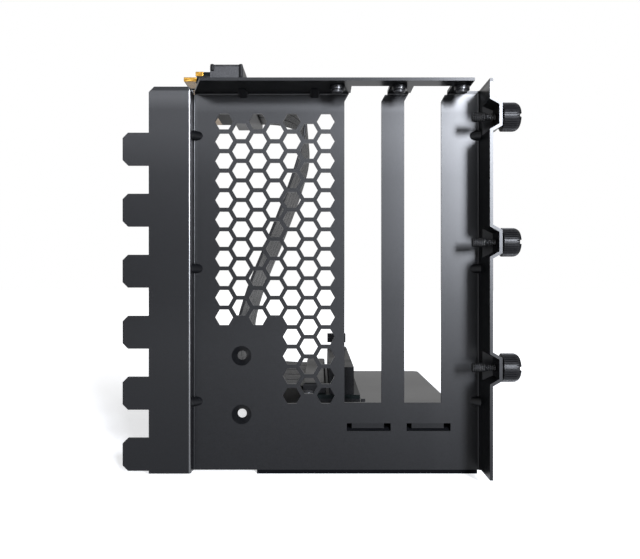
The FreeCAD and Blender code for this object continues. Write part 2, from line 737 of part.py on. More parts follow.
def panScrew(label, x, y, seat, head, headTall, shank, shankLong):
    """Screw that points down, its head's underside on seat, with a cross recess."""
    body = newBody(label)
    profile = sketchOn(body, "XY_Plane", label + "_head", seat)
    ring(profile, x, y, f"{head} / 2")
    pad(profile, headTall)
    rim = number(f"{seat} + {headTall}")
    edges = [f"Edge{i}" for i, e in enumerate(body.Tip.Shape.Edges, 1)
             if isinstance(e.Curve, Part.Circle) and near(e.Curve.Center.z, rim)]
    crown = body.newObject("PartDesign::Fillet", label + "_crown")
    crown.Base = (crown.BaseFeature, edges)
    crown.setExpression("Radius", f"{headTall} * 0.6")
    doc.recompute()
    stem = sketchOn(body, "XY_Plane", label + "_stem", seat)
    ring(stem, x, y, f"{shank} / 2")
    pad(stem, shankLong, reverse=True)
    recess = sketchOn(body, "XY_Plane", label + "_recess", f"{seat} + {headTall}")
    arm, half = f"{head} * 0.26", f"{head} * 0.06"
    outline(recess, [
        (f"{x} + {a} * {arm} + {b} * {half}", f"{y} + {c} * {arm} + {e} * {half}")
        for a, b, c, e in (
            (1, 0, 0, -1), (1, 0, 0, 1), (0, 1, 0, 1), (0, 1, 1, 0), (0, -1, 1, 0), (0, -1, 0, 1),
            (-1, 0, 0, 1), (-1, 0, 0, -1), (0, -1, 0, -1), (0, -1, -1, 0), (0, 1, -1, 0), (0, 1, 0, -1),
        )
    ])
    pocket(recess, f"{headTall} * 0.6")
    return body


def cardScrew(index):
    x = f"({cardScrewX} + {index} * Sizes.slot_pitch)"
    long = "Sizes.wall + Sizes.collar_tall + Sizes.card_screw_tip"
    panScrew(f"card_screw_{index + 1}", x, cardScrewY, "Sizes.seat_high",
             "Sizes.pan_wide", "Sizes.pan_tall", "Sizes.card_screw_wide", long)


def boardScrew(index):
    x, y = boardScrewPlaces()[index]
    long = "Sizes.board_thick + Sizes.spacer_thick + Sizes.wall"
    panScrew(f"board_screw_{index + 1}", x, y, boardTop,
             "Sizes.board_head_wide", "Sizes.board_head_tall", "Sizes.board_screw_wide", long)


def thumbscrew(index):
    """Steel shank, loose in its seat by its neck, and the ribbed knob on its outer end."""
    z = f"({screwZ} - {index} * {screwPitch})"
    threadEnd = f"({seatFace} - Sizes.wall - Sizes.shank_travel)"
    knobStart = f"({seatFace} + Sizes.knob_gap)"
    knobFace = f"({knobStart} + Sizes.collar_under)"
    knobEnd = f"({knobFace} + Sizes.knob_long)"

    shank = newBody(f"thumbscrew_shank_{index + 1}")
    thread = sketchOn(shank, "YZ_Plane", f"thread_{index + 1}", threadEnd)
    ring(thread, screwY, z, "Sizes.thread_wide / 2")
    pad(thread, "Sizes.thread_long", reverse=True)
    neck = sketchOn(shank, "YZ_Plane", f"neck_{index + 1}", threadEnd)
    ring(neck, screwY, z, "Sizes.neck_wide / 2")
    pad(neck, f"{knobStart} + Sizes.bore_deep - {threadEnd}")

    knob = newBody(f"thumbscrew_knob_{index + 1}")
    collar = sketchOn(knob, "YZ_Plane", f"knob_collar_{index + 1}", knobStart)
    ring(collar, screwY, z, "Sizes.under_wide / 2")
    pad(collar, "Sizes.collar_under")
    grip = sketchOn(knob, "YZ_Plane", f"knob_grip_{index + 1}", knobFace)
    ring(grip, screwY, z, "Sizes.knob_wide / 2")
    pad(grip, "Sizes.knob_long")
    ends = (number(knobFace), number(knobEnd))
    edges = [f"Edge{i}" for i, e in enumerate(knob.Tip.Shape.Edges, 1)
             if isinstance(e.Curve, Part.Circle) and near(e.Curve.Center.x, ends[1])]
    dome = knob.newObject("PartDesign::Fillet", f"knob_dome_{index + 1}")
    dome.Base = (dome.BaseFeature, edges)
    dome.setExpression("Radius", "Sizes.knob_round")
    doc.recompute()
    rim = f"Sizes.knob_wide / 2 + 0.2"
    root = f"(Sizes.knob_wide / 2 - Sizes.rib_deep)"
    half = f"(Sizes.knob_wide * {math.pi / knobRibs / 2 * 0.8})"
    groove = sketchOn(knob, "YZ_Plane", f"knob_groove_{index + 1}", knobFace)
    outline(groove, [
        (f"{screwY} - {half}", f"{z} + {rim}"),
        (f"{screwY} - {half} * 0.35", f"{z} + {root}"),
        (f"{screwY} + {half} * 0.35", f"{z} + {root}"),
        (f"{screwY} + {half}", f"{z} + {rim}"),
    ])
    cut = pocket(groove, "Sizes.knob_long - Sizes.knob_cap", reverse=True)
    axis = sketchOn(knob, "YZ_Plane", f"knob_axis_{index + 1}", knobFace)
    n = axis.addGeometry(Part.Point(FreeCAD.Vector(number(screwY), number(z), 0)), True)
    place(axis, n, 1, screwY, z)
    ribs = knob.newObject("PartDesign::PolarPattern", f"knob_ribs_{index + 1}")
    ribs.Originals = [cut]
    line = knob.newObject("PartDesign::Line", f"knob_centre_{index + 1}")
    line.MapMode = "Deactivated"
    line.Placement = FreeCAD.Placement(FreeCAD.Vector(), alongX)
    line.setExpression("Placement.Base.y", screwY)
    line.setExpression("Placement.Base.z", z)
    ribs.Axis = (line, [""])
    ribs.Angle = 360
    ribs.Occurrences = knobRibs
    knob.Tip = ribs
    doc.recompute()
    driver = sketchOn(knob, "YZ_Plane", f"knob_driver_{index + 1}", knobEnd)
    across = "Sizes.knob_wide"
    box(driver, f"{screwY} - {across}", f"{z} - Sizes.driver_wide / 2",
        f"{screwY} + {across}", f"{z} + Sizes.driver_wide / 2")
    pocket(driver, "Sizes.driver_deep")
    bore = sketchOn(knob, "YZ_Plane", f"knob_bore_{index + 1}", knobStart)
    ring(bore, screwY, z, "Sizes.neck_wide / 2 + Sizes.bore_gap")
    pocket(bore, "Sizes.bore_deep + Sizes.bore_gap", reverse=True)


def socketHousing():
    """Moulded card socket with a keyed groove, and a fork at its far end that carries the latch."""
    body = newBody("socket_housing")
    half = "Sizes.socket_wide / 2"
    block = sketchOn(body, "XY_Plane", "socket_plan", boardTop)
    box(block, f"{slotX} - {half}", socketY, f"{slotX} + {half}", socketEnd)
    pad(block, "Sizes.socket_tall")
    top = f"({boardTop} + Sizes.socket_tall)"
    slot = f"({socketY} + Sizes.groove_end)"
    far = f"({socketEnd} - Sizes.groove_end)"
    key = f"({slot} + Sizes.key_from)"
    for name, a, b in (("short", slot, key), ("long", f"({key} + Sizes.key_wide)", far)):
        groove = sketchOn(body, "XY_Plane", f"groove_{name}", top)
        box(groove, f"{slotX} - Sizes.groove_wide / 2", a, f"{slotX} + Sizes.groove_wide / 2", b)
        pocket(groove, "Sizes.groove_deep")
        wide = "(Sizes.groove_wide / 2 + Sizes.contact_thick)"
        primitive(
            body, "SubtractiveBox", f"contact_room_{name}", FreeCAD.Rotation(),
            (f"{slotX} - {wide}", a, f"{top} - Sizes.groove_deep"),
            Length=f"2 * {wide}", Width=f"{b} - {a}", Height="Sizes.contact_tall",
        )
    fork = sketchOn(body, "XY_Plane", "latch_fork", boardTop)
    for side in ("-", "+"):
        inner, outer = f"{slotX} {side} Sizes.fork_gap / 2", f"{slotX} {side} {half}"
        box(fork, *(
            (outer, socketEnd, inner, f"{socketEnd} + Sizes.fork_long") if side == "-"
            else (inner, socketEnd, outer, f"{socketEnd} + Sizes.fork_long")
        ))
    pad(fork, "Sizes.fork_tall")
    hole = sketchOn(body, "YZ_Plane", "latch_holes", f"{slotX} - {half} - 1")
    ring(hole, latchY, latchZ, "Sizes.latch_pin / 2 + Sizes.bore_gap")
    pocket(hole, f"Sizes.socket_wide + 2", reverse=True)
    return body


latchY = f"({socketEnd} + Sizes.fork_long / 2)"
latchZ = f"({boardTop} + Sizes.latch_pin_high)"


def socketLatch():
    """Lever that hooks the card's tail, turning on its own two trunnions."""
    body = newBody("socket_latch")
    lever = sketchOn(body, "YZ_Plane", "latch_lever", slotX)
    near0 = f"({latchY} - Sizes.latch_thick / 2)"
    far0 = f"({latchY} + Sizes.latch_thick / 2)"
    foot = f"({boardTop} + Sizes.latch_foot_gap)"
    top = f"({boardTop} + Sizes.latch_tall)"
    outline(lever, [(near0, foot), (far0, foot), (far0, top), (near0, top)])
    pad(lever, "Sizes.fork_gap - 2 * Sizes.latch_gap", both=True)
    thumb = sketchOn(body, "YZ_Plane", "latch_thumb", slotX)
    outline(thumb, [
        (near0, f"{top} - Sizes.latch_pad_tall"),
        (far0, f"{top} - Sizes.latch_pad_tall"),
        (f"{far0} + Sizes.latch_thick / 2", top),
        (near0, top),
    ])
    pad(thumb, "Sizes.socket_wide - Sizes.latch_gap", both=True)
    hook = sketchOn(body, "YZ_Plane", "latch_hook", slotX)
    high = f"({boardTop} + Sizes.socket_tall + Sizes.latch_gap)"
    outline(hook, [
        (near0, high),
        (near0, f"{high} + 1.4"),
        (f"{near0} - 1.6", high),
    ])
    pad(hook, "Sizes.groove_wide", both=True)
    pins = sketchOn(body, "YZ_Plane", "latch_pins", slotX)
    ring(pins, latchY, latchZ, "Sizes.latch_pin / 2")
    pad(pins, "Sizes.socket_wide", both=True)
    return body


def block(label, x0, y0, z0, x1, y1, tall):
    body = newBody(label)
    plan = sketchOn(body, "XY_Plane", label + "_plan", z0)
    box(plan, x0, y0, x1, y1)
    pad(plan, tall)
    return body


def cableCover():
    body = block("cable_cover", coverX, coverY, boardTop, f"{coverX} + Sizes.cover_wide",
                 f"{coverY} + Sizes.cover_long", "Sizes.cover_tall")
    top = f"{boardTop} + Sizes.cover_tall"
    rounded(
        body, lambda m, d, long: near(m.z, number(top)) and abs(d.z) < 0.01,
        "Sizes.cover_tall / 4", "cover_top_edges",
    )
    return body


def contactPlaces():
    """Distance of each contact from the groove's near end, in the short and the long section."""
    pitch = number("Sizes.contact_pitch")
    short = [(i + 0.5) * pitch for i in range(shortContacts)]
    start = number("Sizes.key_from + Sizes.key_wide")
    return short + [start + (i + 0.5) * pitch for i in range(longContacts)]


def socketContacts():
    """Two rows of spring contacts that stand against the walls of the groove."""
    thick, wide, tall = (number("Sizes.contact_" + name) for name in ("thick", "wide", "tall"))
    floor = number(f"{boardTop} + Sizes.socket_tall - Sizes.groove_deep")
    start = number(f"{socketY} + Sizes.groove_end")
    middle = number(slotX)
    outer = number("Sizes.groove_wide / 2 + Sizes.contact_thick")
    pieces = []
    for x in (middle - outer, middle + outer - thick):
        for place_ in contactPlaces():
            corner = FreeCAD.Vector(x, start + place_ - wide / 2, floor)
            pieces.append(Part.makeBox(thick, wide, tall, corner))
    made = doc.addObject("Part::Feature", "socket_contacts")
    made.Label = "socket_contacts"
    made.Shape = Part.makeCompound(pieces)
    made.Placement = FreeCAD.Placement()


def routeEdges(points, offset):
    """Straight runs joined by tangent arcs, moved sideways by offset, and the arcs' radii."""
    flat = [FreeCAD.Vector(x, 0, z) for x, z in points]
    ahead = [(b - a).normalize() for a, b in zip(flat, flat[1:])]
    long = [(b - a).Length for a, b in zip(flat, flat[1:])]
    sideways = [FreeCAD.Vector(-d.z, 0, d.x) for d in ahead]
    edges, radii = [], []
    here = flat[0] + sideways[0] * offset
    for i in range(1, len(flat) - 1):
        turn = math.acos(max(-1.0, min(1.0, ahead[i - 1].dot(ahead[i]))))
        trim = 0.45 * min(long[i - 1], long[i])
        radius = trim / math.tan(turn / 2)
        radii.append(radius)
        left = ahead[i - 1].cross(ahead[i]).y < 0
        toCentre = sideways[i - 1] if left else sideways[i - 1] * -1
        centre = flat[i] - ahead[i - 1] * trim + toCentre * radius
        start = flat[i] - ahead[i - 1] * trim + sideways[i - 1] * offset
        end = flat[i] + ahead[i] * trim + sideways[i] * offset
        outward = (flat[i] - centre).normalize()
        middle = centre + outward * (start - centre).Length
        edges.append(Part.LineSegment(here, start).toShape())
        edges.append(Part.Arc(start, middle, end).toShape())
        here = end
    edges.append(Part.LineSegment(here, flat[-1] + sideways[-1] * offset).toShape())
    return edges, radii


def riserRibbons():
    """Five flat ribbons side by side, each the route's strip drawn out to the ribbon's width."""
    start = FreeCAD.Vector(number(coverX), 0, number(ribbonZ))
    points = [(start.x + x, start.z + z) for x, z in route]
    thick, wide, pitch = (number("Sizes.ribbon_" + name) for name in ("thick", "wide", "pitch"))
    above, radii = routeEdges(points, thick / 2)
    below, radii = routeEdges(points, -thick / 2)
    middle, radii = routeEdges(points, 0)
    closing = [
        Part.LineSegment(a.Vertexes[n].Point, b.Vertexes[n].Point).toShape()
        for a, b, n in ((above[0], below[0], 0), (above[-1], below[-1], -1))
    ]
    print("ribbon radii", [round(r, 1) for r in radii])
    strip = Part.Face(Part.Wire(Part.__sortEdges__(above + below + closing)))
    long = sum(edge.Length for edge in middle)
    print("ribbon length", round(long, 2))
    for i in range(ribbons):
        made = doc.addObject("Part::Feature", f"riser_ribbon_{i + 1}")
        made.Label = made.Name
        made.Shape = strip.extrude(FreeCAD.Vector(0, wide, 0))
        place_ = FreeCAD.Vector(0, number(ribbonY) + i * pitch, 0)
        made.Placement = FreeCAD.Placement(place_, FreeCAD.Rotation())
        if abs(made.Shape.Volume - long * thick * wide) > 0.01 * made.Shape.Volume:
            raise ValueError("a ribbon's volume isn't its section times its length")


fingerY = f"({shellY} + Sizes.finger_near)"


def plugBoard():
    """Edge board of the plug: a finger tongue out of the shell, with its key notch, and a short heel."""
    body = newBody("plug_board")
    plan = sketchOn(body, "XY_Plane", "plug_board_plan", plugBoardUnder)
    right = f"({shellX} - Sizes.plug_end_in)"
    heel = f"({shellLeft} - Sizes.heel_out)"
    tip = f"({shellLeft} - Sizes.finger_out)"
    first = f"({shellY} + Sizes.plug_end_in)"
    last = f"({shellY} + Sizes.shell_long - Sizes.plug_end_in)"
    key = f"({fingerY} + Sizes.key_from)"
    outline(plan, [
        (right, first),
        (right, last),
        (f"{shellLeft}", last),
        (f"{shellLeft}", f"{fingerY} + Sizes.finger_long"),
        (tip, f"{fingerY} + Sizes.finger_long"),
        (tip, f"{key} + Sizes.key_wide"),
        (f"{shellLeft} - 2", f"{key} + Sizes.key_wide"),
        (f"{shellLeft} - 2", key),
        (tip, key),
        (tip, fingerY),
        (f"{shellLeft} - 2", fingerY),
        (f"{shellLeft} - 2", f"{first} + Sizes.heel_long - 2"),
        (heel, f"{first} + Sizes.heel_long - 2"),
        (heel, first),
    ])
    pad(plan, "Sizes.board_thick")
    return body


def plugContacts():
    """Gold pads along the tip of the finger tongue, on both faces."""
    long, wide, thick = (number("Sizes.pad_" + name) for name in ("long", "wide", "thick"))
    tip = number(f"{shellLeft} - Sizes.finger_out") + 0.3
    start = number(fingerY)
    under, over = number(plugBoardUnder), number(plugBoardTop)
    pieces = []
    for z in (under - thick, over):
        for place_ in contactPlaces():
            corner = FreeCAD.Vector(tip, start + place_ - wide / 2, z)
            pieces.append(Part.makeBox(long, wide, thick, corner))
    made = doc.addObject("Part::Feature", "plug_contacts")
    made.Label = "plug_contacts"
    made.Shape = Part.makeCompound(pieces)
    made.Placement = FreeCAD.Placement()


def plugShells():
    """Two moulded halves that close over the edge board, split at the board's underside."""
    far = f"{shellY} + Sizes.shell_long"
    lower = block("plug_shell_lower", shellLeft, shellY, f"{plugBoardUnder} - Sizes.shell_floor",
                  shellX, far, "Sizes.shell_floor")
    roof = "(Sizes.board_thick + Sizes.shell_roof)"
    upper = block("plug_shell_upper", shellLeft, shellY, plugBoardUnder, shellX, far, roof)
    room = sketchOn(upper, "XY_Plane", "plug_board_room", plugBoardUnder)
    box(room, f"{shellLeft} - 1", f"{shellY} + Sizes.plug_end_in",
        f"{shellX} - Sizes.plug_end_in", f"{far} - Sizes.plug_end_in")
    pocket(room, "Sizes.board_thick", reverse=True)
    for body, z in ((lower, f"{plugBoardUnder} - Sizes.shell_floor"), (upper, f"{plugBoardUnder} + {roof}")):
        rounded(
            body, lambda m, d, long: near(m.z, number(z)) and abs(d.z) < 0.01,
            "Sizes.shell_round", body.Label + "_edges",
        )


rearPanel()
riserShelf()
boardSheet("board_spacer", shelfTop, "Sizes.spacer_thick")
boardSheet("socket_board", boardUnder, "Sizes.board_thick")
socketHousing()
socketLatch()
socketContacts()
cableCover()
riserRibbons()
plugBoard()
plugContacts()
plugShells()
for index in range(thumbscrews):
    thumbscrew(index)
for index in range(cardScrews):
    cardScrew(index)
for index in range(len(boardScrewPlaces())):
    boardScrew(index)

doc.recompute()
failed = [o.Name for o in doc.Objects if {"Invalid", "Error"} & set(o.State)]
if failed:
    raise ValueError(f"these objects failed: {failed}")
pieces = [o for o in doc.Objects if o.TypeId in ("PartDesign::Body", "Part::Feature")]
for piece in pieces:
    if piece.Shape.isNull() or not piece.Shape.isValid():
        raise ValueError(f"{piece.Label} has no valid shape")
for piece in pieces:
    piece.Shape.exportStep(f"parts/{piece.Label}.step")
    corner = piece.Shape.BoundBox
    print(piece.Label, len(piece.Shape.Solids), [round(v, 2) for v in (
        corner.XMin, corner.YMin, corner.ZMin, corner.XMax, corner.YMax, corner.ZMax)])
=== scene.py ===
import math
import bpy
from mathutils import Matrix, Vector


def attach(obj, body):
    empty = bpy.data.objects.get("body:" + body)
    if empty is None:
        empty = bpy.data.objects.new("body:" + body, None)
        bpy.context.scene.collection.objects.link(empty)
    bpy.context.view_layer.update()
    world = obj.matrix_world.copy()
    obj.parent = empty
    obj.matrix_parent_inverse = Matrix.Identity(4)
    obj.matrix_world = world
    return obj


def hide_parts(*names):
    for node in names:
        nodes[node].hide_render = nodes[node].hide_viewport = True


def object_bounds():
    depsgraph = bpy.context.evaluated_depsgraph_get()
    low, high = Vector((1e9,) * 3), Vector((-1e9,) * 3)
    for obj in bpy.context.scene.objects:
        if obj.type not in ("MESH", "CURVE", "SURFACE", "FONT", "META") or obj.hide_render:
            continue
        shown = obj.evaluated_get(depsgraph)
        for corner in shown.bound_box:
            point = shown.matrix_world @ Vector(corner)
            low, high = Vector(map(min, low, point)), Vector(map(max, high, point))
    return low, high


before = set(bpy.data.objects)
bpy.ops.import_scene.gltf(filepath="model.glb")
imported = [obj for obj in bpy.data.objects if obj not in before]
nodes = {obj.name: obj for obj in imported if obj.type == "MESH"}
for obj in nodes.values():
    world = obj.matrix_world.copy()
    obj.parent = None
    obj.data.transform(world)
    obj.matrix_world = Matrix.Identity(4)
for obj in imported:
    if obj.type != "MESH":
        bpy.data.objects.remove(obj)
cadBounds = [list(corner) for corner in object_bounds()]
mm = 0.001

# Camera: straight on to the panel and level with its middle, 240 mm in front of its face.
cameraSetup = {
    "place": (50.0 * mm, -235.2 * mm, 7.4 * mm),
    "lens": 39.76,           # on a 36 mm wide sensor
    "nearLimit": 10.0 * mm,
}
cameraData = bpy.data.cameras.new("bracketCamera")
cameraData.lens = cameraSetup["lens"]
cameraData.clip_start = cameraSetup["nearLimit"]
camera = bpy.data.objects.new("bracketCamera", cameraData)
camera.location = cameraSetup["place"]
camera.rotation_euler = (math.pi / 2, 0, 0)
bpy.context.scene.collection.objects.link(camera)
bpy.context.scene.camera = camera
print("stage: camera")


# Small node helpers that the materials share.
def nodeMaterial(name):
    material = bpy.data.materials.new(name)
    material.use_nodes = True
    shader = material.node_tree.nodes["Principled BSDF"]
    return material, material.node_tree, shader


def objectCoords(tree, scale=(1, 1, 1)):
    coords = tree.nodes.new("ShaderNodeTexCoord")
    mapping = tree.nodes.new("ShaderNodeMapping")
    mapping.inputs["Scale"].default_value = scale
    tree.links.new(coords.outputs["Object"], mapping.inputs["Vector"])
    return mapping.outputs["Vector"]


def noiseOn(tree, vector, scale, detail=3.0, rough=0.5):
    noise = tree.nodes.new("ShaderNodeTexNoise")
    noise.inputs["Scale"].default_value = scale
    noise.inputs["Detail"].default_value = detail
    noise.inputs["Roughness"].default_value = rough
    tree.links.new(vector, noise.inputs["Vector"])
    return noise.outputs["Fac"]


def rampOn(tree, value, stops, lowColour, highColour):
    ramp = tree.nodes.new("ShaderNodeValToRGB")
    ramp.color_ramp.elements[0].position, ramp.color_ramp.elements[1].position = stops
    ramp.color_ramp.elements[0].color = (*lowColour, 1)
    ramp.color_ramp.elements[1].color = (*highColour, 1)
    tree.links.new(value, ramp.inputs["Fac"])
    return ramp.outputs["Color"]


def rangeOn(tree, value, low, high, start=0.3, end=0.7):
    spread = tree.nodes.new("ShaderNodeMapRange")
    spread.inputs["From Min"].default_value = start
    spread.inputs["From Max"].default_value = end
    spread.inputs["To Min"].default_value = low
    spread.inputs["To Max"].default_value = high
    tree.links.new(value, spread.inputs["Value"])
    return spread.outputs["Result"]


def sumOf(tree, first, second, share):
    total = tree.nodes.new("ShaderNodeMath")
    total.operation = "MULTIPLY_ADD"
    total.inputs[1].default_value = share
    tree.links.new(second, total.inputs[0])
    tree.links.new(first, total.inputs[2])
    return total.outputs["Value"]


def productOf(tree, first, second):
    product = tree.nodes.new("ShaderNodeMath")
    product.operation = "MULTIPLY"
    tree.links.new(first, product.inputs[0])
    tree.links.new(second, product.inputs[1])
    return product.outputs["Value"]


def bandsOn(tree, vector, direction, pitch):
    # One ridge every pitch metres along the given axis.
    wave = tree.nodes.new("ShaderNodeTexWave")
    wave.wave_type = "BANDS"
    wave.bands_direction = direction
    wave.inputs["Scale"].default_value = math.tau / 20 / pitch      # the node draws 20 radians a metre
    tree.links.new(vector, wave.inputs["Vector"])
    return wave.outputs["Fac"]


def bumpOn(tree, shader, height, distance, strength):
    bump = tree.nodes.new("ShaderNodeBump")
    bump.inputs["Distance"].default_value = distance
    bump.inputs["Strength"].default_value = strength
    tree.links.new(height, bump.inputs["Height"])
    tree.links.new(bump.outputs["Normal"], shader.inputs["Normal"])


def paintSheenAlong(tree, value, axis, start, end, level):
    # The value as it is up to start on the given axis, and level times as much from end on: paints
    # highlight or shade into the gloss by place.
    split = tree.nodes.new("ShaderNodeSeparateXYZ")
    tree.links.new(objectCoords(tree), split.inputs["Vector"])
    return productOf(tree, value, rangeOn(tree, split.outputs[axis], 1.0, level, start, end))


# What every finish shares: how fine its grain is, where its two tones meet and how gloss falls at the rim.
coatSetup = {
    "grainDetail": 2.0,
    "grainRough": 0.6,
    "toneStops": (0.35, 0.65),
    "tiltBlend": 0.5,
    "tiltStops": (0.4, 0.9),
    "edgeGloss": 0.4,        # share of the gloss that is left at the rim
    "strength": 0.5,
}


# Every finish: clouded gloss, fine grain in tone and relief, its own ridges, and gloss raised or cut by
# place as painted highlight and painted shade.
def surface(name, look):
    material, tree, shader = nodeMaterial(name)
    vector = objectCoords(tree, look.get("stretch", (1, 1, 1)))
    broad = noiseOn(tree, vector, look["cloud"])
    fine = noiseOn(tree, vector, look["grain"], coatSetup["grainDetail"], coatSetup["grainRough"])
    height = fine
    if "bands" in look:
        ridges = bandsOn(tree, objectCoords(tree), *look["bands"])
        height = sumOf(tree, fine, ridges, look["bandShare"])
    shader.inputs["Metallic"].default_value = look.get("metal", 0.0)
    tone = rampOn(tree, fine, coatSetup["toneStops"], look["dark"], look["light"])
    tree.links.new(tone, shader.inputs["Base Color"])
    tree.links.new(rangeOn(tree, broad, *look["rough"]), shader.inputs["Roughness"])
    tilt = tree.nodes.new("ShaderNodeLayerWeight")
    tilt.inputs["Blend"].default_value = coatSetup["tiltBlend"]
    edgeGloss = look["gloss"] * look.get("edgeGloss", coatSetup["edgeGloss"])
    gloss = rangeOn(tree, tilt.outputs["Facing"], look["gloss"], edgeGloss, *coatSetup["tiltStops"])
    # Painted highlight and painted shade: the gloss scaled up or down by place.
    for share in look.get("paintedSheenShares", []):
        gloss = paintSheenAlong(tree, gloss, *share)
    tree.links.new(gloss, shader.inputs["Specular IOR Level"])
    bumpOn(tree, shader, height, look["relief"], look.get("strength", coatSetup["strength"]))
    return material


sheetLook = {
    "cloud": 22.0, "grain": 2600.0, "relief": 0.01 * mm, "strength": 0.3,
    "rough": (0.285, 0.31), "gloss": 0.18, "edgeGloss": 0.15,
    "dark": (0.0014, 0.0015, 0.0018), "light": (0.003, 0.0031, 0.0036),
}
# Each painted-sheen share (gloss scaled by place to paint highlight or shade) is an axis, where it starts,
# where it is full, and its factor from there on.
shelfLook = dict(sheetLook, paintedSheenShares=[("Y", 22.0 * mm, 14.0 * mm, 0.0)])      # painted shade: no gloss on the shelf within 14 mm of the panel, fading in by 22 mm
# Panel gloss scaled by place: painted highlight and painted shade standing in for how the key and strip
# lights fall.
panelLook = dict(sheetLook, paintedSheenShares=[
    ("X", 6.3 * mm, 6.4 * mm, 6.0),          # painted highlight: gloss six times over in a thin line down the comb's fold
    # end of the painted fold highlight
    ("X", 7.0 * mm, 7.1 * mm, 0.167),
    ("Z", 64.0 * mm, 68.0 * mm, 1.7),        # painted light: more gloss below the top fold, lifting the flange's cast shadow there
    # the painted lift ends at the top flange, which keeps about two thirds of its gloss
    ("Z", 70.2 * mm, 70.4 * mm, 0.4),
    ("Z", 57.0 * mm, 42.0 * mm, 0.76),       # painted shade: less gloss from there down
    # painted highlight: a little more gloss again from 15 mm below the middle down
    ("Z", 0.0, -15.0 * mm, 1.12),
    # painted highlight: a little more gloss towards the right strip
    ("X", 86.0 * mm, 90.0 * mm, 1.1),
])
knobLook = {
    "cloud": 60.0, "grain": 3000.0, "relief": 0.02 * mm,
    "rough": (0.3, 0.42), "gloss": 0.12, "edgeGloss": 0.1,
    "dark": (0.002, 0.002, 0.0022), "light": (0.007, 0.007, 0.0075),
    "paintedSheenShares": [("X", 113.4 * mm, 113.8 * mm, 0.05)],      # painted shade: almost no gloss on the domed end, so it reads dark
}
threadLook = {
    "cloud": 60.0, "grain": 3000.0, "relief": 0.3 * mm, "strength": 1.0,
    "rough": (0.14, 0.22), "gloss": 0.35, "edgeGloss": 0.1, "bands": ("X", 0.7 * mm), "bandShare": 1.0,
    "dark": (0.002, 0.002, 0.0022), "light": (0.005, 0.005, 0.0053),
}
zincLook = {
    "cloud": 80.0, "grain": 3500.0, "relief": 0.02 * mm,
    "rough": (0.24, 0.36), "gloss": 0.12, "metal": 0.05,
    "dark": (0.01, 0.01, 0.0105), "light": (0.02, 0.02, 0.021),
}
shellLook = {
    "cloud": 40.0, "grain": 1500.0, "relief": 0.08 * mm, "strength": 0.6,
    "rough": (0.36, 0.5), "gloss": 0.24,
    "dark": (0.006, 0.006, 0.0066), "light": (0.015, 0.015, 0.016),
}
mouldLook = {
    "cloud": 40.0, "grain": 2400.0, "relief": 0.04 * mm, "strength": 0.5,
    "rough": (0.32, 0.45), "gloss": 0.06, "edgeGloss": 0.25,
    "dark": (0.0012, 0.0012, 0.0013), "light": (0.004, 0.004, 0.0044),
}
maskLook = {
    "cloud": 70.0, "grain": 700.0, "relief": 0.03 * mm, "stretch": (1, 0.12, 1),
    "rough": (0.28, 0.4), "gloss": 0.02, "edgeGloss": 0.3,
    "dark": (0.0015, 0.0022, 0.0022), "light": (0.004, 0.0055, 0.0055),
}
goldLook = {
    "cloud": 120.0, "grain": 2200.0, "relief": 0.01 * mm, "metal": 1.0, "stretch": (0.2, 1, 1),
    "rough": (0.2, 0.34), "gloss": 0.5,
    "dark": (0.09, 0.045, 0.006), "light": (0.24, 0.135, 0.026),
}
ribbonLook = {
    "cloud": 35.0, "grain": 1500.0, "relief": 0.15 * mm, "strength": 0.6,
    "rough": (0.36, 0.48), "gloss": 0.12, "edgeGloss": 0.3, "bands": ("Z", 1.0 * mm), "bandShare": 1.5,
    "dark": (0.006, 0.006, 0.0066), "light": (0.013, 0.013, 0.014),
}
panelCoat = surface("blackPanelCoat", panelLook)
shelfCoat = surface("blackShelfCoat", shelfLook)
knurledBlack = surface("blackKnurledMetal", knobLook)
threadedBlack = surface("blackScrewThread", threadLook)
zincBlack = surface("blackZinc", zincLook)
mouldedBlack = surface("blackMouldedPlastic", mouldLook)
shellPlastic = surface("mottledShellPlastic", shellLook)
solderMask = surface("darkSolderMask", maskLook)
contactGold = surface("goldPlate", goldLook)
ribbonJacket = surface("ribbonJacket", ribbonLook)
print("stage: materials")


edgeSetup = {
    "sheet": 0.12 * mm,
    "plastic": 0.25 * mm,
    "segments": 2,
    "flatWithin": math.radians(1.5),
    "softOver": math.radians(40),
}


# Gives a CAD node its material and, where an edge width is given, softened edges.
def finish(name, material, edge=0.0):
    piece = nodes[name]
    piece.data.materials.clear()
    piece.data.materials.append(material)
    if edge:
        flat = piece.modifiers.new("flatFaces", "DECIMATE")
        flat.decimate_type = "DISSOLVE"
        flat.angle_limit = edgeSetup["flatWithin"]
        soft = piece.modifiers.new("softEdges", "BEVEL")
        soft.width = edge
        soft.segments = edgeSetup["segments"]
        soft.limit_method = "ANGLE"
        soft.angle_limit = edgeSetup["softOver"]
        soft.use_clamp_overlap = True


finish("rear_panel", panelCoat, edgeSetup["sheet"])
finish("riser_shelf", shelfCoat, edgeSetup["sheet"])
for name in ("socket_housing", "socket_latch", "cable_cover"):
    finish(name, mouldedBlack, edgeSetup["plastic"])
for name in ("plug_shell_upper", "plug_shell_lower"):
    finish(name, shellPlastic)
finish("board_spacer", mouldedBlack)
for name in ("socket_board", "plug_board"):
    finish(name, solderMask)
for name in ("socket_contacts", "plug_contacts"):
    finish(name, contactGold)
for index in (1, 2, 3):
    finish(f"thumbscrew_knob_{index}", knurledBlack)
    finish(f"thumbscrew_shank_{index}", threadedBlack)
    finish(f"card_screw_{index}", zincBlack)
for index in (1, 2):
    finish(f"board_screw_{index}", zincBlack)
print("stage: finishes on the CAD nodes")

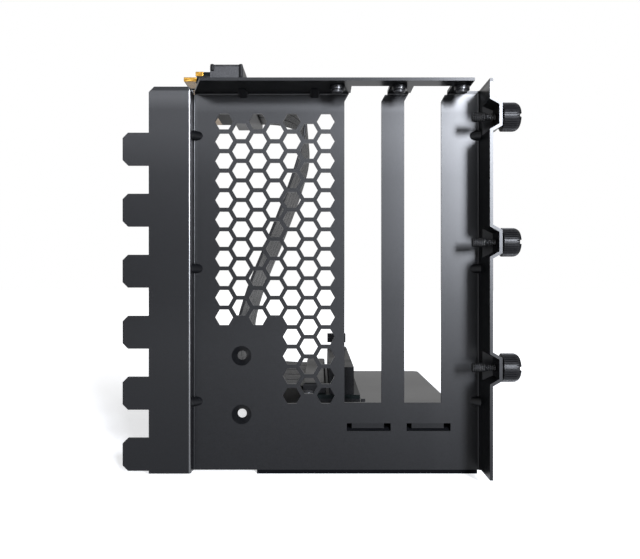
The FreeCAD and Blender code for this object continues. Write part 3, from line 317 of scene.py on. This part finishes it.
# Riser cable: five flat ribbons, each a smooth curve drawn out to the ribbon's width.
ribbonSetup = {
    "count": 5,
    "width": 17.0 * mm,
    "thick": 1.2 * mm,
    "pitch": 17.6 * mm,
    "firstNear": 64.8 * mm,  # near edge of the first ribbon
    "exit": (43.0 * mm, -38.3 * mm),
    "length": 177.0 * mm,
    "steps": 12,
    "edgeSteps": 3,
    "route": [               # across and up from the exit, in mm
        (0.0, 0.0),
        (-14.5, 0.0),
        (-28.1, 4.9),
        (-29.8, 20.4),
        (-23.9, 41.9),
        (-12.6, 68.4),
        (-3.5, 92.4),
        (1.5, 110.9),
        (-0.7, 124.5),
        (-11.9, 131.0),
        (-24.6, 131.0),
    ],
}


def ribbonCurve(index):
    setup = ribbonSetup
    middle = setup["firstNear"] + setup["width"] / 2 + index * setup["pitch"]
    data = bpy.data.curves.new(f"ribbon{index + 1}", "CURVE")
    data.dimensions = "3D"
    spline = data.splines.new("NURBS")
    spline.points.add(len(setup["route"]) - 1)
    for point, (across, up) in zip(spline.points, setup["route"]):
        point.co = (setup["exit"][0] + across * mm, setup["exit"][1] + up * mm, 0, 1)
    spline.order_u = 3
    spline.use_endpoint_u = True
    spline.resolution_u = setup["steps"]
    data.twist_mode = "Z_UP"
    data.extrude = setup["width"] / 2 - setup["thick"] / 2
    data.bevel_depth = setup["thick"] / 2
    data.bevel_resolution = setup["edgeSteps"]
    piece = bpy.data.objects.new(f"ribbon{index + 1}", data)
    piece.rotation_euler = (math.pi / 2, 0, 0)
    piece.location = (0, middle, 0)
    bpy.context.scene.collection.objects.link(piece)
    data.materials.append(ribbonJacket)
    return piece, middle


for index in range(ribbonSetup["count"]):
    ribbon, middle = ribbonCurve(index)
    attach(ribbon, "root")
    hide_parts(f"riser_ribbon_{index + 1}")
print("stage: ribbons")


# Plug: gold-plated near ends of the edge board, and the dark clips at the shell's near corners.
plugSetup = {
    "boardZ": (91.5 * mm, 93.1 * mm),
    "plating": 0.12 * mm,
    "tongue": {"x": (-7.7 * mm, -2.5 * mm), "near": 64.8 * mm},
    "heel": {"x": (-1.3 * mm, 1.7 * mm), "near": 56.8 * mm},
    "clipX": ((5.0 * mm, 6.6 * mm), (16.7 * mm, 18.3 * mm)),
    "clipZ": ((92.9 * mm, 95.8 * mm), (90.2 * mm, 95.8 * mm)),
    "clipThick": 0.6 * mm,
    "clipDeep": 1.0 * mm,
    "clipRound": 0.5 * mm,
    "platingRound": 0.108 * mm,
    "roundSteps": 3,
    "shellNear": 54.8 * mm,
}


# Box with rounded edges between two corners, which rides with the body and has a material slot.
def roundedBlock(name, low, high, edge, material):
    x0, y0, z0 = low
    x1, y1, z1 = high
    mesh = bpy.data.meshes.new(name)
    mesh.from_pydata(
        [(x, y, z) for x in (x0, x1) for y in (y0, y1) for z in (z0, z1)],
        [],
        [(0, 1, 3, 2), (4, 6, 7, 5), (0, 4, 5, 1), (2, 3, 7, 6), (0, 2, 6, 4), (1, 5, 7, 3)],
    )
    mesh.materials.append(material)
    piece = bpy.data.objects.new(name, mesh)
    bpy.context.scene.collection.objects.link(piece)
    soft = piece.modifiers.new("softEdges", "BEVEL")
    soft.width = edge
    soft.segments = plugSetup["roundSteps"]
    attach(piece, "root")


for name in ("tongue", "heel"):
    (left, right), near = plugSetup[name]["x"], plugSetup[name]["near"]
    low, high = plugSetup["boardZ"]
    thick = plugSetup["plating"]
    roundedBlock(
        name + "Plating", (left - thick, near - thick, low - thick), (right, near + thick, high + thick),
        plugSetup["platingRound"], contactGold,
    )
for index, ((left, right), (low, high)) in enumerate(zip(plugSetup["clipX"], plugSetup["clipZ"])):
    near = plugSetup["shellNear"]
    roundedBlock(
        f"shellClip{index + 1}",
        (left, near - plugSetup["clipThick"], low), (right, near + plugSetup["clipDeep"], high),
        plugSetup["clipRound"], mouldedBlack,
    )
print("stage: plug details")

# Studio: a tall soft light in front on the right, a weak fill on the left, a wide strip and white around.
studio = {
    "tint": (0.87, 0.91, 1.0),
    "key": {"place": (0.47, -1.106, 0.27), "aim": (0.09, 0.0, 0.03), "size": (0.2, 0.36), "power": 52.0},
    "fill": {"place": (-0.8, -0.6, 0.3), "aim": (0.03, 0.0, 0.0), "size": (0.5, 0.5), "power": 1.0},
    "strip": {"place": (-0.05, -1.15, 0.34), "aim": (0.03, 0.0, 0.03), "size": (1.3, 0.14), "power": 7.5},
    "surround": 0.2,
    "floorSize": 8.0,
    "floorColour": (0.8, 0.8, 0.8),
    "floorRough": 0.9,
    "glowNear": 0.55,
    "glowFar": 1.0,
    "glowReach": (0.12, 0.55),
}


def areaLight(name, setup):
    data = bpy.data.lights.new(name, "AREA")
    data.shape = "RECTANGLE"
    data.size, data.size_y = setup["size"]
    data.energy = setup["power"]
    data.color = studio["tint"]
    light = bpy.data.objects.new(name, data)
    light.location = setup["place"]
    facing = Vector(setup["aim"]) - Vector(setup["place"])
    light.rotation_euler = facing.to_track_quat("-Z", "Y").to_euler()
    bpy.context.scene.collection.objects.link(light)


for name in ("key", "fill", "strip"):
    areaLight(name + "Light", studio[name])


# 1 for rays from the camera, off a mirror-like surface or through a clear one, else 0.
def seenDirectly(tree):
    path = tree.nodes.new("ShaderNodeLightPath")
    total = path.outputs["Is Camera Ray"]
    for name in ("Is Glossy Ray", "Is Transmission Ray"):
        either = tree.nodes.new("ShaderNodeMath")
        either.operation = "MAXIMUM"
        tree.links.new(total, either.inputs[0])
        tree.links.new(path.outputs[name], either.inputs[1])
        total = either.outputs[0]
    return total


world = bpy.data.worlds.new("surround")
world.use_nodes = True
bpy.context.scene.world = world
worldTree = world.node_tree
background = worldTree.nodes["Background"]
background.inputs["Color"].default_value = (1, 1, 1, 1)
strength = rangeOn(worldTree, seenDirectly(worldTree), studio["surround"], 1.0, 0.0, 1.0)
worldTree.links.new(strength, background.inputs["Strength"])

floorMaterial, floorTree, floorShader = nodeMaterial("paleFloor")
floorShader.inputs["Base Color"].default_value = (*studio["floorColour"], 1)
floorShader.inputs["Roughness"].default_value = studio["floorRough"]
floorShader.inputs["Specular IOR Level"].default_value = 0.0
floorShader.inputs["Emission Color"].default_value = (1, 1, 1, 1)
around = floorTree.nodes.new("ShaderNodeTexCoord")
distance = floorTree.nodes.new("ShaderNodeVectorMath")
distance.operation = "LENGTH"
floorTree.links.new(around.outputs["Object"], distance.inputs[0])
# White further out, where nothing casts a shadow.
fade = rangeOn(
    floorTree, distance.outputs["Value"], studio["glowNear"], studio["glowFar"], *studio["glowReach"]
)
glow = productOf(floorTree, fade, seenDirectly(floorTree))
floorTree.links.new(glow, floorShader.inputs["Emission Strength"])
half = studio["floorSize"] / 2
floorMesh = bpy.data.meshes.new("floor")
floorLevel = cadBounds[0][2]
floorMesh.from_pydata(
    [(x * half, y * half, floorLevel) for x, y in ((-1, -1), (1, -1), (1, 1), (-1, 1))],
    [], [(0, 1, 2, 3)],
)
floorMesh.materials.append(floorMaterial)
floor = bpy.data.objects.new("floor", floorMesh)
bpy.context.scene.collection.objects.link(floor)
bpy.context.scene.view_settings.view_transform = "Standard"
print("stage: studio")
